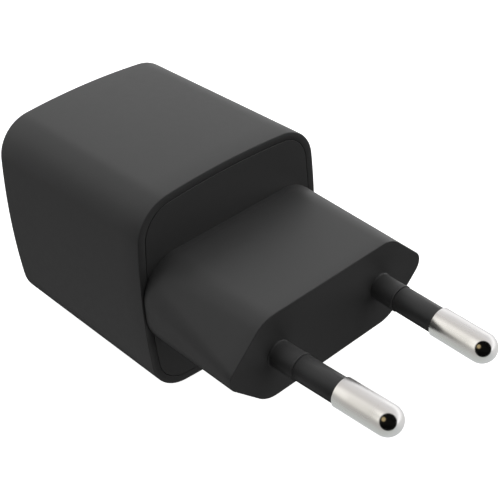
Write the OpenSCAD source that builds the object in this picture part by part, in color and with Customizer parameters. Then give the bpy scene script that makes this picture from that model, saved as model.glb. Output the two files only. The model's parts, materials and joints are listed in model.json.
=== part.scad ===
// USB wall charger: a square body with a two-pin Europlug nose at the front and one USB-C port at the back.
// Millimetres, +Z up. The origin is the middle of the plug's engagement face, half way between the pins.
// The pins point along -Y. The body runs along +Y. X runs across the two pins.

/* [Body] */
// Width of the body across the pins
body_w = 31.8; // [31:0.1:44]
// Height of the body
body_h = 31.8; // [31:0.1:44]
// Length of the body from its front rim to its back
body_l = 31.4; // [30.6:0.1:44]
// Radius of the body's four long corners
corner_r = 5.9; // [5:0.1:8]
// Radius of the slight bulge of each side
bulge_r = 110; // [90:1:400]
// Radius of the edge round the back
back_edge_r = 0.6; // [0.3:0.1:1.2]
// Wall thickness of the rear shell
wall = 2.0; // [1.8:0.1:2.1]
// Width of the shell's rim that shows round the front cap
rim_t = 1.15; // [0.9:0.05:1.3]
// Width of the seam between the rim and the front cap
seam_gap = 0.15; // [0.1:0.05:0.3]

/* [Plug nose] */
// Length of the nose from the engagement face to the body's rim
nose_l = 18.3; // [16:0.1:24]
// Width of the engagement face
nose_w = 34.7; // [33:0.1:36]
// Height of the engagement face
nose_h = 13.1; // [12.4:0.1:14]
// Width of the engagement face's straight top and bottom edges, before rounding
nose_flat_w = 23; // [21:0.1:25]
// Radius at the ends of those straight edges
nose_flat_r = 4.5; // [3:0.1:5]
// Radius of the two side corners
nose_side_r = 2.0; // [1.5:0.1:2.6]
// Width of the nose where it meets the body
root_w = 31.3; // [29:0.1:31.6]
// Height of the nose where it meets the body
root_h = 14; // [13:0.1:16]
// Corner radius of the nose where it meets the body
root_r = 5.85; // [4:0.05:6.2]
// Thickness of the nose's front wall
face_t = 2.8; // [2.4:0.1:3.2]

/* [Pins] */
// Diameter of the bare metal of each pin
pin_d = 4.0; // [3.8:0.05:4.8]
// Length of each pin from the engagement face to the tip
pin_l = 19; // [18:0.5:23]
// Distance between the pins' axes at the engagement face
pin_pitch = 18.5; // [18:0.1:19]
// Distance between the pins' axes at the tips
tip_pitch = 17.2; // [17:0.1:18]
// Length of the insulated part of each pin
insulated_l = 10.2; // [9.5:0.1:12]
// Diameter of the insulating sleeve
sleeve_d = 3.56; // [3.4:0.02:3.8]
// Diameter of the collar at the root of each pin
collar_d = 3.64; // [3.5:0.02:3.9]
// Length of the collar
collar_l = 3.8; // [3:0.1:5]

/* [USB-C port] */
// Width of the opening in the port's metal shell
port_w = 8.34; // [8.34:0.02:8.5]
// Height of the opening in the port's metal shell
port_h = 2.56; // [2.56:0.02:2.7]
// Depth of the port's mouth below the back of the body
port_sink = 0.4; // [0.2:0.1:0.8]

/* [Inside] */
// Thickness of the three circuit boards
board_t = 1.0; // [0.8:0.1:1.2]
// Diameter of each bulk capacitor
bulk_d = 8; // [7:0.1:8.2]
// Height of each bulk capacitor
bulk_h = 14; // [10:0.5:17]
// Width of the transformer's core
core_w = 14; // [12:0.2:14]
// Height of the transformer's core
core_h = 18.4; // [16:0.2:18.6]
// Clearance where two pieces fit together
fit_gap = 0.05; // [0.02:0.01:0.1]

/* [Hidden] */

$fn = 64;

black = [0.07, 0.07, 0.075];
nickel = [0.80, 0.79, 0.76];
steel = [0.72, 0.73, 0.75];
copper = [0.72, 0.42, 0.22];
board_green = [0.05, 0.25, 0.16];
chip_black = [0.10, 0.10, 0.11];
ferrite = [0.20, 0.20, 0.21];

// Along Y: the rim's plane, the back of the cap's plate, the inside of the back wall and the back.
rim_y = nose_l;
cap_t = 2.4;
plate_y = rim_y + cap_t;
back_y = rim_y + body_l;
inner_back_y = back_y - wall;
skirt_l = 3;
skirt_t = 1.2;
skirt_gap = 0.1;
skirt_y = plate_y + skirt_l;

// The bulge and the corners. One centre serves every inset of the outline.
side_cx = body_w / 2 - bulge_r;
side_cz = body_h / 2 - bulge_r;
span = norm([side_cx, side_cz]);
rise = sqrt(pow(bulge_r - corner_r, 2) - pow(span / 2, 2));
corner_c = [side_cx / 2 - side_cz * rise / span, side_cz / 2 - side_cx * rise / span];
to_side = (corner_c - [side_cx, 0]) / (bulge_r - corner_r);
to_top = (corner_c - [0, side_cz]) / (bulge_r - corner_r);
side_angle = atan2(to_side[1], to_side[0]);
top_angle = atan2(to_top[0], to_top[1]);
side_n = 9;
corner_n = 12;

// The nose's front outline is a hexagon with round corners, so its circles' centres follow from its size.
flat_cx = nose_flat_w / 2 - nose_flat_r * (sqrt(2) - 1);
flat_cz = nose_h / 2 - nose_flat_r;
edge_cx = nose_w / 2 - nose_side_r;
root_c = [root_w / 2 - root_r, root_h / 2 - root_r];
root_gap = 0.1;
hull_t = 0.02;
hull_fn = 48;
nose_wall = 1.9;

// The pins lean towards each other.
pin_lean = asin((pin_pitch - tip_pitch) / 2 / pin_l);
core_r = 1.25;
grip_r = 1.8;
grip_in = 0.8;
grip_l = 5.6;
grip_end = grip_in + grip_l;
tail_r = 1.45;
tail_end = 9.2;
shoulder_c = 0.15;
seam_ring = 0.08;
lip_h = 0.06;
lip_l = 0.3;
relief_w = 0.2;
relief_t = 0.3;
boss_r = 3.2;
boss_end = grip_end + 0.6;
tail_x = pin_pitch / 2 + tail_end * sin(pin_lean);
foot_x = tail_x + 1;
foot_w = 0.6;
foot_h = 3;
retainer_y = boss_end + 0.2;
retainer_t = 1.2;
nose_room_w = root_w / 2 - 3.1;
nose_room_h = root_h / 2 - nose_wall;
front_room_w = nose_w / 2 - 4.3;
front_room_h = nose_h / 2 - nose_wall;

// Inside the shell, from the wall inwards: a liner, then the heat spreader.
liner_in = wall + skirt_gap;
liner_t = 0.3;
spreader_in = liner_in + liner_t + 0.1;
spreader_t = 0.5;
room_z = body_h / 2 - spreader_in - spreader_t;

// The three boards.
input_y = plate_y + 0.6;
input_back = input_y + board_t;
main_top = -body_h / 2 + 6.3;
main_bottom = main_top - board_t;
main_x = body_w / 2 - 3.7;
main_y0 = skirt_y + 0.6;
main_y1 = inner_back_y - 0.6;
port_l = 6.6;
port_y = back_y - port_sink - port_l - board_t;
port_back = port_y + board_t;
port_x = body_w / 2 - 4.4;
port_top = body_h / 2 - 6.4;
hole_gap = 0.1;

// The transformer stands on the main board on the left, clear of the shell's upper corner. The bulk
// capacitors stand on the right.
corner_out = 1.2;
trafo_x = core_w / 2 - corner_c[0] - corner_out;
trafo_y = (main_y0 + port_y) / 2;
core_y = 7;
base_t = 2;
base_z = main_top + 0.2;
core_z = base_z + base_t + 0.1;
core_back = 1.9;
core_leg = 1.9;
centre_leg = 4;
tube_t = 0.6;
flange_t = 0.5;
tape_t = 0.2;
window_x = core_w / 2 - core_leg;
wound_x = window_x - 0.2 - tape_t;
wound_y = core_y / 2 + 2.7;
trafo_pin_x = [-4.5, -1.5, 1.5, 4.5];
trafo_pin_y = wound_y - 0.7;
bulk_x = main_x - bulk_d / 2 - 0.1;
bulk_ys = [trafo_y - bulk_d / 2 - 0.25, trafo_y + bulk_d / 2 + 0.25];
bulk_z = main_top + 0.2;
bulk_lead = 1.75;
lead_r = 0.3;
lead_out = 0.6;

// The parts under the main board stand between the transformer's pins and the capacitors' leads.
under_x = (trafo_x + trafo_pin_x[3] + bulk_x) / 2;
under_gap = 0.05;

// The link pins are square wires that turn through a right angle.
link_w = 0.6;
link_z = main_top + 1;
input_link_x = [-2.6, 0, 2.6];
input_link_y = main_y0 + 0.7;
port_link_x = [-6.25, -3.75, -1.25, 1.25, 3.75, 6.25];
port_link_y = port_back + 1.1;

// The port. Its shell's outside is the opening plus the sheet on each side.
port_sheet = 0.3;
port_out_w = port_w + 2 * port_sheet;
port_out_h = port_h + 2 * port_sheet;
port_mouth = back_y - port_sink;
port_body_l = 2.2;
tongue_w = 6.69;
tongue_t = 0.7;
tongue_back = 1.0;
contact_w = 0.25;
contact_pitch = 0.5;
contact_n = 12;
contact_h = 0.06;
peg_x = 2.9;
peg_r = 0.3;
rim_step = 0.35;

// Turns what is drawn along +Z so that it runs along +Y, starting at y.
module along_y(y = 0) {
    translate([0, y, 0]) rotate([-90, 0, 0]) children();
}

// Points along an arc, spread evenly about an angle. cut drops that many points at each end.
function arc_points(centre, r, middle, spread, n, cut) = [
    for (i = [cut : n - cut])
        centre + r * [cos(middle + spread * (i / n - 0.5)), sin(middle + spread * (i / n - 0.5))]
];

// The body's section, drawn inwards by an inset: four wide arcs joined by four tangent corner arcs.
// The middle step of each wide arc is a flat on which the body lies.
module body_outline(inset = 0) {
    side_r = bulge_r - inset;
    edge_r = corner_r - inset;
    bend = (side_angle + 90 - top_angle) / 2;
    turn = 90 - side_angle - top_angle;
    qx = corner_c[0];
    qz = corner_c[1];
    polygon(concat(
        arc_points([side_cx, 0], side_r, 0, 2 * side_angle, side_n, 0),
        arc_points([qx, qz], edge_r, bend, turn, corner_n, 1),
        arc_points([0, side_cz], side_r, 90, 2 * top_angle, side_n, 0),
        arc_points([-qx, qz], edge_r, 180 - bend, turn, corner_n, 1),
        arc_points([-side_cx, 0], side_r, 180, 2 * side_angle, side_n, 0),
        arc_points([-qx, -qz], edge_r, 180 + bend, turn, corner_n, 1),
        arc_points([0, -side_cz], side_r, 270, 2 * top_angle, side_n, 0),
        arc_points([qx, -qz], edge_r, 360 - bend, turn, corner_n, 1)
    ));
}

module body_prism(inset, y0, y1) {
    along_y(y0) linear_extrude(y1 - y0) body_outline(inset);
}

// The last stretch of the body, l long, with its back edge rounded.
module body_end(l) {
    hull() {
        body_prism(0, back_y - l, back_y - back_edge_r);
        for (turn = [30, 60, 90])
            body_prism(
                back_edge_r * (1 - cos(turn)),
                back_y - back_edge_r,
                back_y - back_edge_r * (1 - sin(turn))
            );
    }
}

// A block given by its corners.
module block(lo, hi) {
    translate(lo) cube(hi - lo);
}

// A flat slot outline with round ends, wide along X.
module slot_outline(w, h) {
    square([w - h, h], center = true);
    for (side = [-1, 1])
        translate([side * (w - h) / 2, 0]) circle(d = h);
}

module rounded_rect(w, h, r) {
    square([w - 2 * r, h], center = true);
    square([w, h - 2 * r], center = true);
    for (sx = [-1, 1], sz = [-1, 1])
        translate([sx * (w / 2 - r), sz * (h / 2 - r)]) circle(r = r);
}

module port_prism(w, h, y0, y1) {
    along_y(y0) linear_extrude(y1 - y0) slot_outline(w, h);
}

// Puts what is drawn along +Z on a pin's axis, with z = 0 at the engagement face and +z into the body.
module on_pin(side) {
    translate([side * pin_pitch / 2, 0, 0]) rotate([0, 0, -side * pin_lean])
        rotate([-90, 0, 0]) children();
}

module pin_bar(r, z0, z1) {
    translate([0, 0, z0]) cylinder(r = r, h = z1 - z0);
}

// A strip of sheet t thick that follows points in the XY plane, h high along Z.
module strip(points, t, h) {
    translate([0, 0, -h / 2]) linear_extrude(h) {
        for (i = [0 : len(points) - 2]) {
            a = points[i];
            b = points[i + 1];
            translate(a) rotate(atan2(b[1] - a[1], b[0] - a[0])) translate([0, -t / 2])
                square([norm(b - a), t]);
        }
        for (p = points)
            translate(p) circle(d = t, $fn = 24);
    }
}

module rear_shell() {
    rib_w = 1.6;
    rib_l = 2.4;
    rib_t = 1;
    color(black) difference() {
        union() {
            difference() {
                body_prism(0, rim_y, inner_back_y - 1);
                body_prism(rim_t, rim_y - 1, plate_y);
                body_prism(wall, plate_y - 1, back_y);
            }
            difference() {
                body_end(wall + 1);
                body_prism(wall, rim_y, inner_back_y);
            }
            // Two pairs of ribs hold the rear edge of the main board.
            for (side = [-1, 1], z = [main_top + fit_gap, main_bottom - fit_gap - rib_t])
                translate([side * (main_x - rib_w) - rib_w / 2, inner_back_y - rib_l, z])
                    cube([rib_w, rib_l + 0.5, rib_t]);
        }
        port_prism(port_out_w + 4 * fit_gap, port_out_h + 4 * fit_gap, inner_back_y - 1, back_y + 1);
        port_prism(port_out_w + 2 * rim_step, port_out_h + 2 * rim_step, port_mouth, back_y + 1);
    }
}

module nose_solid() {
    hull() {
        along_y(0) for (sx = [-1, 1], sz = [-1, 1])
            translate([sx * flat_cx, sz * flat_cz, 0]) cylinder(r = nose_flat_r, h = hull_t, $fn = hull_fn);
        along_y(0) for (sx = [-1, 1])
            translate([sx * edge_cx, 0, 0]) cylinder(r = nose_side_r, h = hull_t, $fn = hull_fn);
        along_y(rim_y - root_gap - hull_t) for (sx = [-1, 1], sz = [-1, 1])
            translate([sx * root_c[0], sz * root_c[1], 0])
                cylinder(r = root_r, h = hull_t, $fn = hull_fn);
    }
}

// Where the nose grows out of the plate, inside the seam.
module neck_outline() {
    neck_in = 0.05;
    intersection() {
        rounded_rect(root_w - 2 * neck_in, root_h - 2 * neck_in, root_r - neck_in);
        square([body_w - 2 * (rim_t + seam_gap + 0.2), root_h], center = true);
    }
}

module nose_room() {
    room_r = 3;
    hull() {
        along_y(face_t) for (sx = [-1, 1], sz = [-1, 1])
            translate([sx * (front_room_w - room_r), sz * (front_room_h - room_r), 0])
                cylinder(r = room_r, h = hull_t, $fn = 32);
        along_y(plate_y + 1) for (sx = [-1, 1], sz = [-1, 1])
            translate([sx * (nose_room_w - room_r), sz * (nose_room_h - room_r), 0])
                cylinder(r = room_r, h = hull_t, $fn = 32);
    }
}

// One moulding: the flush plate, its locating skirt, the hollow nose and the two pin collars.
module front_cap() {
    color(black) difference() {
        union() {
            difference() {
                union() {
                    nose_solid();
                    body_prism(rim_t + seam_gap, rim_y, plate_y);
                    along_y(rim_y - 0.5) linear_extrude(0.6) neck_outline();
                }
                nose_room();
                // A shallow ring round each collar keeps its root clear of a socket's face.
                for (side = [-1, 1])
                    on_pin(side) pin_bar(collar_d / 2 + relief_w, -1, relief_t);
            }
            difference() {
                body_prism(wall + skirt_gap, plate_y, skirt_y);
                body_prism(wall + skirt_gap + skirt_t, plate_y - 1, skirt_y + 1);
            }
            for (side = [-1, 1])
                on_pin(side) {
                    pin_bar(collar_d / 2, -collar_l, face_t);
                    pin_bar(collar_d / 2 + lip_h, -collar_l, lip_l - collar_l);
                    pin_bar(boss_r, face_t - 0.5, boss_end);
                }
        }
        for (side = [-1, 1])
            on_pin(side) {
                pin_bar(core_r + fit_gap, -collar_l - 1, grip_in + 0.1);
                pin_bar(grip_r + fit_gap, grip_in - fit_gap, boss_end + 1);
            }
    }
}

// A pin: round metal head, thin core under the insulation, grooved grip in the nose and tail.
module pin(side) {
    groove_t = 0.25;
    on_pin(side) color(nickel) difference() {
        union() {
            translate([0, 0, pin_d / 2 - pin_l]) sphere(d = pin_d);
            pin_bar(pin_d / 2, pin_d / 2 - pin_l, -insulated_l - shoulder_c);
            translate([0, 0, -insulated_l - shoulder_c])
                cylinder(r1 = pin_d / 2, r2 = pin_d / 2 - shoulder_c, h = shoulder_c);
            pin_bar(core_r, -insulated_l - shoulder_c, grip_in + 0.1);
            pin_bar(grip_r, grip_in, grip_end);
            pin_bar(tail_r, grip_end - 0.1, tail_end);
        }
        for (z = [2.2, 3.8])
            translate([0, 0, z]) difference() {
                cylinder(r = grip_r + 1, h = 0.8);
                translate([0, 0, -1]) cylinder(r = grip_r - groove_t, h = 3);
            }
    }
}

module pin_sleeve(side) {
    on_pin(side) color(black) difference() {
        pin_bar(sleeve_d / 2, -insulated_l + fit_gap, -collar_l - seam_ring);
        pin_bar(core_r + fit_gap, -insulated_l - 1, 0);
    }
}

module left_pin() {
    pin(-1);
}

module right_pin() {
    pin(1);
}

module left_pin_sleeve() {
    pin_sleeve(-1);
}

module right_pin_sleeve() {
    pin_sleeve(1);
}

// A plate behind the bosses that stops the pins being pushed in.
module pin_retainer() {
    half_x = front_room_w - 1.1;
    half_z = front_room_h - 0.9;
    color([0.82, 0.80, 0.72]) difference() {
        block([-half_x, retainer_y, -half_z], [half_x, retainer_y + retainer_t, half_z]);
        for (side = [-1, 1])
            on_pin(side) pin_bar(tail_r + fit_gap, 0, tail_end + 2);
        block([-4, retainer_y - 1, -1.5], [4, retainer_y + retainer_t + 1, 1.5]);
    }
}

// A leaf from the input board to the flat end of a pin.
module contact_spring(side) {
    leaf_t = 0.3;
    leaf_h = 2.6;
    tail_y = tail_end * cos(pin_lean) + leaf_t / 2 + 0.02;
    color(copper) strip([
        [side * foot_x, input_back + 0.6],
        [side * foot_x, tail_y + 3.2],
        [side * (tail_x - 1.3), tail_y + 1.5],
        [side * (tail_x - 0.9), tail_y + 0.5],
        [side * tail_x, tail_y]
    ], leaf_t, leaf_h);
}

module left_contact_spring() {
    contact_spring(-1);
}

module right_contact_spring() {
    contact_spring(1);
}

fuse_x = -6.4;
fuse_z = room_z - 4.2;
thermistor_x = 6.6;
thermistor_z = room_z - 4.3;
thermistor_y = input_back + 0.2;
thermistor_t = min(2.9, bulk_ys[0] - bulk_d / 2 - 0.15 - thermistor_y);
choke_x = -4.2;
choke_z = -2;
ring_r = 3.15;
ring_out = 1.05;
turn_in = 1.58;
turn_out = 1.95;
choke_y = input_back + turn_out + 0.2;
last_turn = 50;
choke_lead_r = ring_r + (turn_in + turn_out) / 2;
choke_leads = [
    for (sx = [-1, 1], sz = [-1, 1])
        [choke_x + sx * choke_lead_r * cos(last_turn), choke_z + sz * choke_lead_r * sin(last_turn)]
];
x_cap_lead = 3.75;
x_cap_back = input_y - lead_out - 0.2;
fuse_lead = 2.54;
thermistor_lead = 2.5;
lead_pairs = [
    for (side = [-1, 1], p = [
        [0, x_cap_lead, 0], [fuse_x, fuse_lead, fuse_z], [thermistor_x, thermistor_lead, thermistor_z]
    ])
        [p[0] + side * p[1], p[2]]
];

// The upright board behind the nose.
module input_board() {
    color(board_green) difference() {
        body_prism(wall + skirt_gap + skirt_t + 0.4, input_y, input_back);
        for (side = [-1, 1])
            block(
                [side * foot_x - foot_w / 2, input_y - 1, -foot_h / 2],
                [side * foot_x + foot_w / 2, input_back + 1, foot_h / 2]
            );
        for (x = input_link_x)
            block(
                [x - link_w / 2 - hole_gap, input_y - 1, link_z - link_w / 2 - hole_gap],
                [x + link_w / 2 + hole_gap, input_back + 1, link_z + link_w / 2 + hole_gap]
            );
        for (p = concat(choke_leads, lead_pairs))
            translate([p[0], 0, p[1]]) along_y(input_y - 1)
                cylinder(r = lead_r + hole_gap, h = board_t + 2, $fn = 24);
    }
}

// A wire lead along Y.
module lead_y(x, z, y0, y1) {
    translate([x, 0, z]) along_y(y0) cylinder(r = lead_r, h = y1 - y0, $fn = 24);
}

// A radial fuse in a round-ended case.
module input_fuse() {
    color([0.62, 0.20, 0.12]) {
        translate([fuse_x, 0, fuse_z]) along_y(input_back + 0.2)
            linear_extrude(3.4) slot_outline(8.4, 6.4);
        for (side = [-1, 1])
            lead_y(fuse_x + side * fuse_lead, fuse_z, input_y - lead_out, input_back + 0.4);
    }
}

// A disc thermistor.
module inrush_thermistor() {
    color([0.12, 0.30, 0.22]) {
        translate([thermistor_x, 0, thermistor_z]) along_y(thermistor_y) cylinder(d = 7, h = thermistor_t);
        for (side = [-1, 1])
            lead_y(
                thermistor_x + side * thermistor_lead, thermistor_z,
                input_y - lead_out, thermistor_y + 0.2
            );
    }
}

// A boxed film capacitor in the hollow of the nose.
module x_capacitor() {
    color([0.85, 0.72, 0.20]) {
        block([-5.6, x_cap_back - 6.4, -3.9], [5.6, x_cap_back, 3.9]);
        for (side = [-1, 1])
            lead_y(side * x_cap_lead, 0, x_cap_back - 0.2, input_back + lead_out);
    }
}

// A ring core with its axis along Y.
module choke_core() {
    color(ferrite) translate([choke_x, 0, choke_z]) along_y(choke_y - ring_out) difference() {
        cylinder(r = ring_r + ring_out, h = 2 * ring_out);
        translate([0, 0, -1]) cylinder(r = ring_r - ring_out, h = 5);
    }
}

// Two coils of wire on the ring, with their ends in the input board.
module choke_winding() {
    color(copper) {
        for (half = [0, 180], turn = [-last_turn : 20 : last_turn])
            translate([choke_x, 0, choke_z]) along_y(choke_y) rotate(turn + half)
                translate([ring_r, 0, 0]) rotate([90, 0, 0]) difference() {
                    cylinder(r = turn_out, h = 0.46, center = true, $fn = 40);
                    cylinder(r = turn_in, h = 1, center = true, $fn = 40);
                }
        for (p = choke_leads)
            lead_y(p[0], p[1], input_y - lead_out, choke_y);
    }
}

module link_pin(x, y0, y1, z, y_down, z_down) {
    block([x - link_w / 2, y0, z - link_w / 2], [x + link_w / 2, y1, z + link_w / 2]);
    block([x - link_w / 2, y_down - link_w / 2, z_down], [x + link_w / 2, y_down + link_w / 2, z]);
}

// Square wires that join the input board to the main board.
module input_link_pins() {
    color(nickel) for (x = input_link_x)
        link_pin(
            x, input_y - lead_out, input_link_y + link_w / 2, link_z,
            input_link_y, main_bottom - lead_out
        );
}

// A body that stands off a face by a small gap, such as a soldered chip, on the main board's underside.
module under_chip(x, y, size_x, size_y, t) {
    z = main_bottom - under_gap;
    block([x - size_x / 2, y - size_y / 2, z - t], [x + size_x / 2, y + size_y / 2, z]);
}

// The flat board under the parts, with a hole for each lead.
module main_board() {
    color(board_green) difference() {
        block([-main_x, main_y0, main_bottom], [main_x, main_y1, main_top]);
        for (y = bulk_ys, side = [-1, 1])
            translate([bulk_x, y + side * bulk_lead, main_bottom - 1])
                cylinder(r = lead_r + hole_gap, h = board_t + 2, $fn = 24);
        for (x = trafo_pin_x, side = [-1, 1])
            translate([trafo_x + x, trafo_y + side * trafo_pin_y, main_bottom - 1])
                cylinder(r = lead_r + hole_gap, h = board_t + 2, $fn = 24);
        for (p = concat(
            [for (x = input_link_x) [x, input_link_y]],
            [for (x = port_link_x) [x, port_link_y]]
        ))
            block(
                [p[0] - link_w / 2 - hole_gap, p[1] - link_w / 2 - hole_gap, main_bottom - 1],
                [p[0] + link_w / 2 + hole_gap, p[1] + link_w / 2 + hole_gap, main_top + 1]
            );
    }
}

module bridge_rectifier() {
    color(chip_black) under_chip(under_x, trafo_y - 4.4, 4.4, 6.2, 1.5);
}

module primary_controller() {
    color(chip_black) under_chip(trafo_x, trafo_y, 8, 6, 0.9);
}

module snubber_diode() {
    color(chip_black) under_chip(under_x, trafo_y + 1.4, 2.6, 4.4, 2);
}

module snubber_capacitors() {
    color([0.62, 0.50, 0.36]) for (y = [-1.5, 1.5])
        under_chip(trafo_x - 5.4, trafo_y + y, 1.6, 2.4, 1.4);
}

module y_capacitor() {
    color([0.20, 0.35, 0.60]) under_chip(under_x, trafo_y + 6.6, 5.4, 4.6, 2.2);
}

module optocoupler() {
    color(chip_black) under_chip(corner_out - corner_c[0], port_y + 1.3, 2.8, 4.4, 2);
}

module chip_resistors() {
    color(chip_black) {
        for (row = [0 : 3])
            under_chip(bulk_x + 2.6, trafo_y - 6 + 4 * row, 0.8, 1.6, 0.5);
        for (row = [0 : 3])
            under_chip(-2.4 - 2 * row, trafo_y + 6.9, 0.8, 1.4, 0.5);
    }
}

// Aluminium cans. Each is open below, where a rubber seal closes it.
module bulk_capacitor_cans() {
    can_r = bulk_d / 2 - 0.2;
    color([0.78, 0.79, 0.80]) for (y = bulk_ys)
        translate([bulk_x, y, bulk_z]) difference() {
            cylinder(r = can_r, h = bulk_h);
            translate([0, 0, -1]) cylinder(r = can_r - 0.3, h = bulk_h + 1 - 0.5);
            for (turn = [0, 90])
                rotate(turn) translate([-can_r * 0.7, -0.1, bulk_h - 0.15]) cube([can_r * 1.4, 0.2, 1]);
        }
}

// The printed plastic sleeve round each can.
module bulk_capacitor_sleeves() {
    color([0.12, 0.13, 0.16]) for (y = bulk_ys)
        translate([bulk_x, y, bulk_z + 0.3]) difference() {
            cylinder(r = bulk_d / 2, h = bulk_h - 0.5);
            translate([0, 0, -1]) cylinder(r = bulk_d / 2 - 0.2 + 0.03, h = bulk_h + 2);
        }
}

module bulk_capacitor_seals() {
    color([0.16, 0.16, 0.16]) for (y = bulk_ys)
        translate([bulk_x, y, bulk_z]) difference() {
            cylinder(r = bulk_d / 2 - 0.5 - fit_gap, h = 1.6);
            for (side = [-1, 1])
                translate([0, side * bulk_lead, -1]) cylinder(r = lead_r + fit_gap, h = 4, $fn = 24);
        }
}

module bulk_capacitor_leads() {
    color(nickel) for (y = bulk_ys, side = [-1, 1])
        translate([bulk_x, y + side * bulk_lead, main_bottom - lead_out])
            cylinder(r = lead_r, h = bulk_z + 3 - main_bottom + lead_out, $fn = 24);
}

// One half of the core, an E on its back: two outer legs and a centre leg.
module core_half(h) {
    translate([0, core_y / 2, 0]) rotate([90, 0, 0]) linear_extrude(core_y) difference() {
        translate([-core_w / 2, 0]) square([core_w, h]);
        for (side = [-1, 1])
            translate([side * (window_x + centre_leg / 2) / 2 - (window_x - centre_leg / 2) / 2, core_back])
                square([window_x - centre_leg / 2, h]);
    }
}

module transformer_core() {
    half_h = core_h / 2 - 0.03;
    color(ferrite) translate([trafo_x, trafo_y, core_z]) {
        core_half(half_h);
        translate([0, 0, core_h]) mirror([0, 0, 1]) core_half(half_h);
    }
}

// The bobbin: a base with the pins, a tube round the centre leg and two flanges.
module transformer_bobbin() {
    tube_x = centre_leg / 2 + fit_gap;
    tube_y = core_y / 2 + fit_gap;
    low = core_z + core_back + fit_gap;
    high = core_z + core_h - core_back - fit_gap;
    side_y = tube_y + tube_t;
    color([0.10, 0.10, 0.11]) translate([trafo_x, trafo_y, 0]) difference() {
        union() {
            for (side = [-1, 1])
                block(
                    [-core_w / 2 + 0.6, side > 0 ? side_y - tube_t : -wound_y, base_z],
                    [core_w / 2 - 0.6, side > 0 ? wound_y : tube_t - side_y, low + flange_t]
                );
            block([-window_x + fit_gap, -wound_y, low], [window_x - fit_gap, wound_y, low + flange_t]);
            block([-window_x + fit_gap, -wound_y, high - flange_t], [window_x - fit_gap, wound_y, high]);
            block([-tube_x - tube_t, -side_y, low], [tube_x + tube_t, side_y, high]);
        }
        block([-tube_x, -tube_y, base_z - 1], [tube_x, tube_y, high + 1]);
        for (x = trafo_pin_x, side = [-1, 1])
            translate([x, side * trafo_pin_y, base_z - 1])
                cylinder(r = lead_r + fit_gap, h = 2.5, $fn = 24);
    }
}

module winding_block(x, y, z0, z1) {
    difference() {
        block([-x, -y, z0], [x, y, z1]);
        block(
            [-centre_leg / 2 - tube_t - 2 * fit_gap, -core_y / 2 - tube_t - 2 * fit_gap, z0 - 1],
            [centre_leg / 2 + tube_t + 2 * fit_gap, core_y / 2 + tube_t + 2 * fit_gap, z1 + 1]
        );
    }
}

module transformer_winding() {
    low = core_z + core_back + flange_t + 3 * fit_gap;
    high = core_z + core_h - core_back - flange_t - 3 * fit_gap;
    color(copper) translate([trafo_x, trafo_y, 0]) winding_block(wound_x, wound_y - 0.1, low, high);
}

// The tape round the winding, a closed band.
module transformer_tape() {
    low = core_z + core_back + flange_t + 3 * fit_gap;
    high = core_z + core_h - core_back - flange_t - 3 * fit_gap;
    gap = 0.02;
    color([0.90, 0.78, 0.18]) translate([trafo_x, trafo_y, 0]) difference() {
        block(
            [-wound_x - tape_t, -wound_y - tape_t + 0.1, low],
            [wound_x + tape_t, wound_y + tape_t - 0.1, high]
        );
        block(
            [-wound_x - gap, -wound_y + 0.1 - gap, low - 1],
            [wound_x + gap, wound_y - 0.1 + gap, high + 1]
        );
    }
}

module transformer_pins() {
    color(nickel) for (x = trafo_pin_x, side = [-1, 1])
        translate([trafo_x + x, trafo_y + side * trafo_pin_y, main_bottom - lead_out])
            cylinder(r = lead_r, h = base_z + 1.4 - main_bottom + lead_out, $fn = 24);
}

// The upright board that carries the port.
module port_board() {
    color(board_green) difference() {
        block([-port_x, port_y, main_top + 0.1], [port_x, port_back, port_top]);
        for (x = port_link_x)
            block(
                [x - link_w / 2 - hole_gap, port_y - 1, link_z - link_w / 2 - hole_gap],
                [x + link_w / 2 + hole_gap, port_back + 1, link_z + link_w / 2 + hole_gap]
            );
        for (side = [-1, 1])
            translate([side * peg_x, 0, 0]) along_y(port_y - 1)
                cylinder(r = peg_r + fit_gap, h = board_t + 2, $fn = 24);
    }
}

module port_link_pins() {
    color(nickel) for (x = port_link_x)
        link_pin(x, port_y - 0.4, port_link_y + link_w / 2, link_z, port_link_y, main_bottom - lead_out);
}

// A part on the port board: on its back when side is 1, on its front when side is -1.
module port_chip(x, z, size_x, size_z, t, side = 1) {
    y0 = side > 0 ? port_back + under_gap : port_y - under_gap - t;
    block([x - size_x / 2, y0, z - size_z / 2], [x + size_x / 2, y0 + t, z + size_z / 2]);
}

module sync_rectifier() {
    color(chip_black) port_chip(trafo_x, 3, 5, 6, 1, -1);
}

module output_capacitors() {
    color([0.78, 0.62, 0.30]) for (z = [-1, 1])
        port_chip(0, z * 4.9, 7.3, 4.3, 2.8);
}

module port_controller() {
    color(chip_black) port_chip(-8.4, 0, 4, 4, 0.8);
}

module output_switch() {
    color(chip_black) port_chip(8.4, 0, 3.3, 3.3, 0.8);
}

module ceramic_capacitors() {
    color([0.62, 0.50, 0.36]) for (side = [-1, 1], z = [-4.6, 4.6])
        port_chip(side * 8, z, 1.6, 3.2, 1.2);
}

// The port's drawn metal shell, open at the mouth.
module usb_c_shell() {
    color(steel) difference() {
        port_prism(port_out_w, port_out_h, port_back + 0.05, port_mouth);
        port_prism(port_w, port_h, port_back, port_mouth + 1);
    }
}

// The insulator at the root of the port, with two pegs in the board.
module usb_c_body() {
    color(chip_black) {
        port_prism(port_w - 2 * fit_gap, port_h - 2 * fit_gap, port_back + 0.05, port_back + port_body_l);
        for (side = [-1, 1])
            translate([side * peg_x, 0, 0]) along_y(port_y + 0.2)
                cylinder(r = peg_r, h = board_t, $fn = 24);
    }
}

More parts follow.
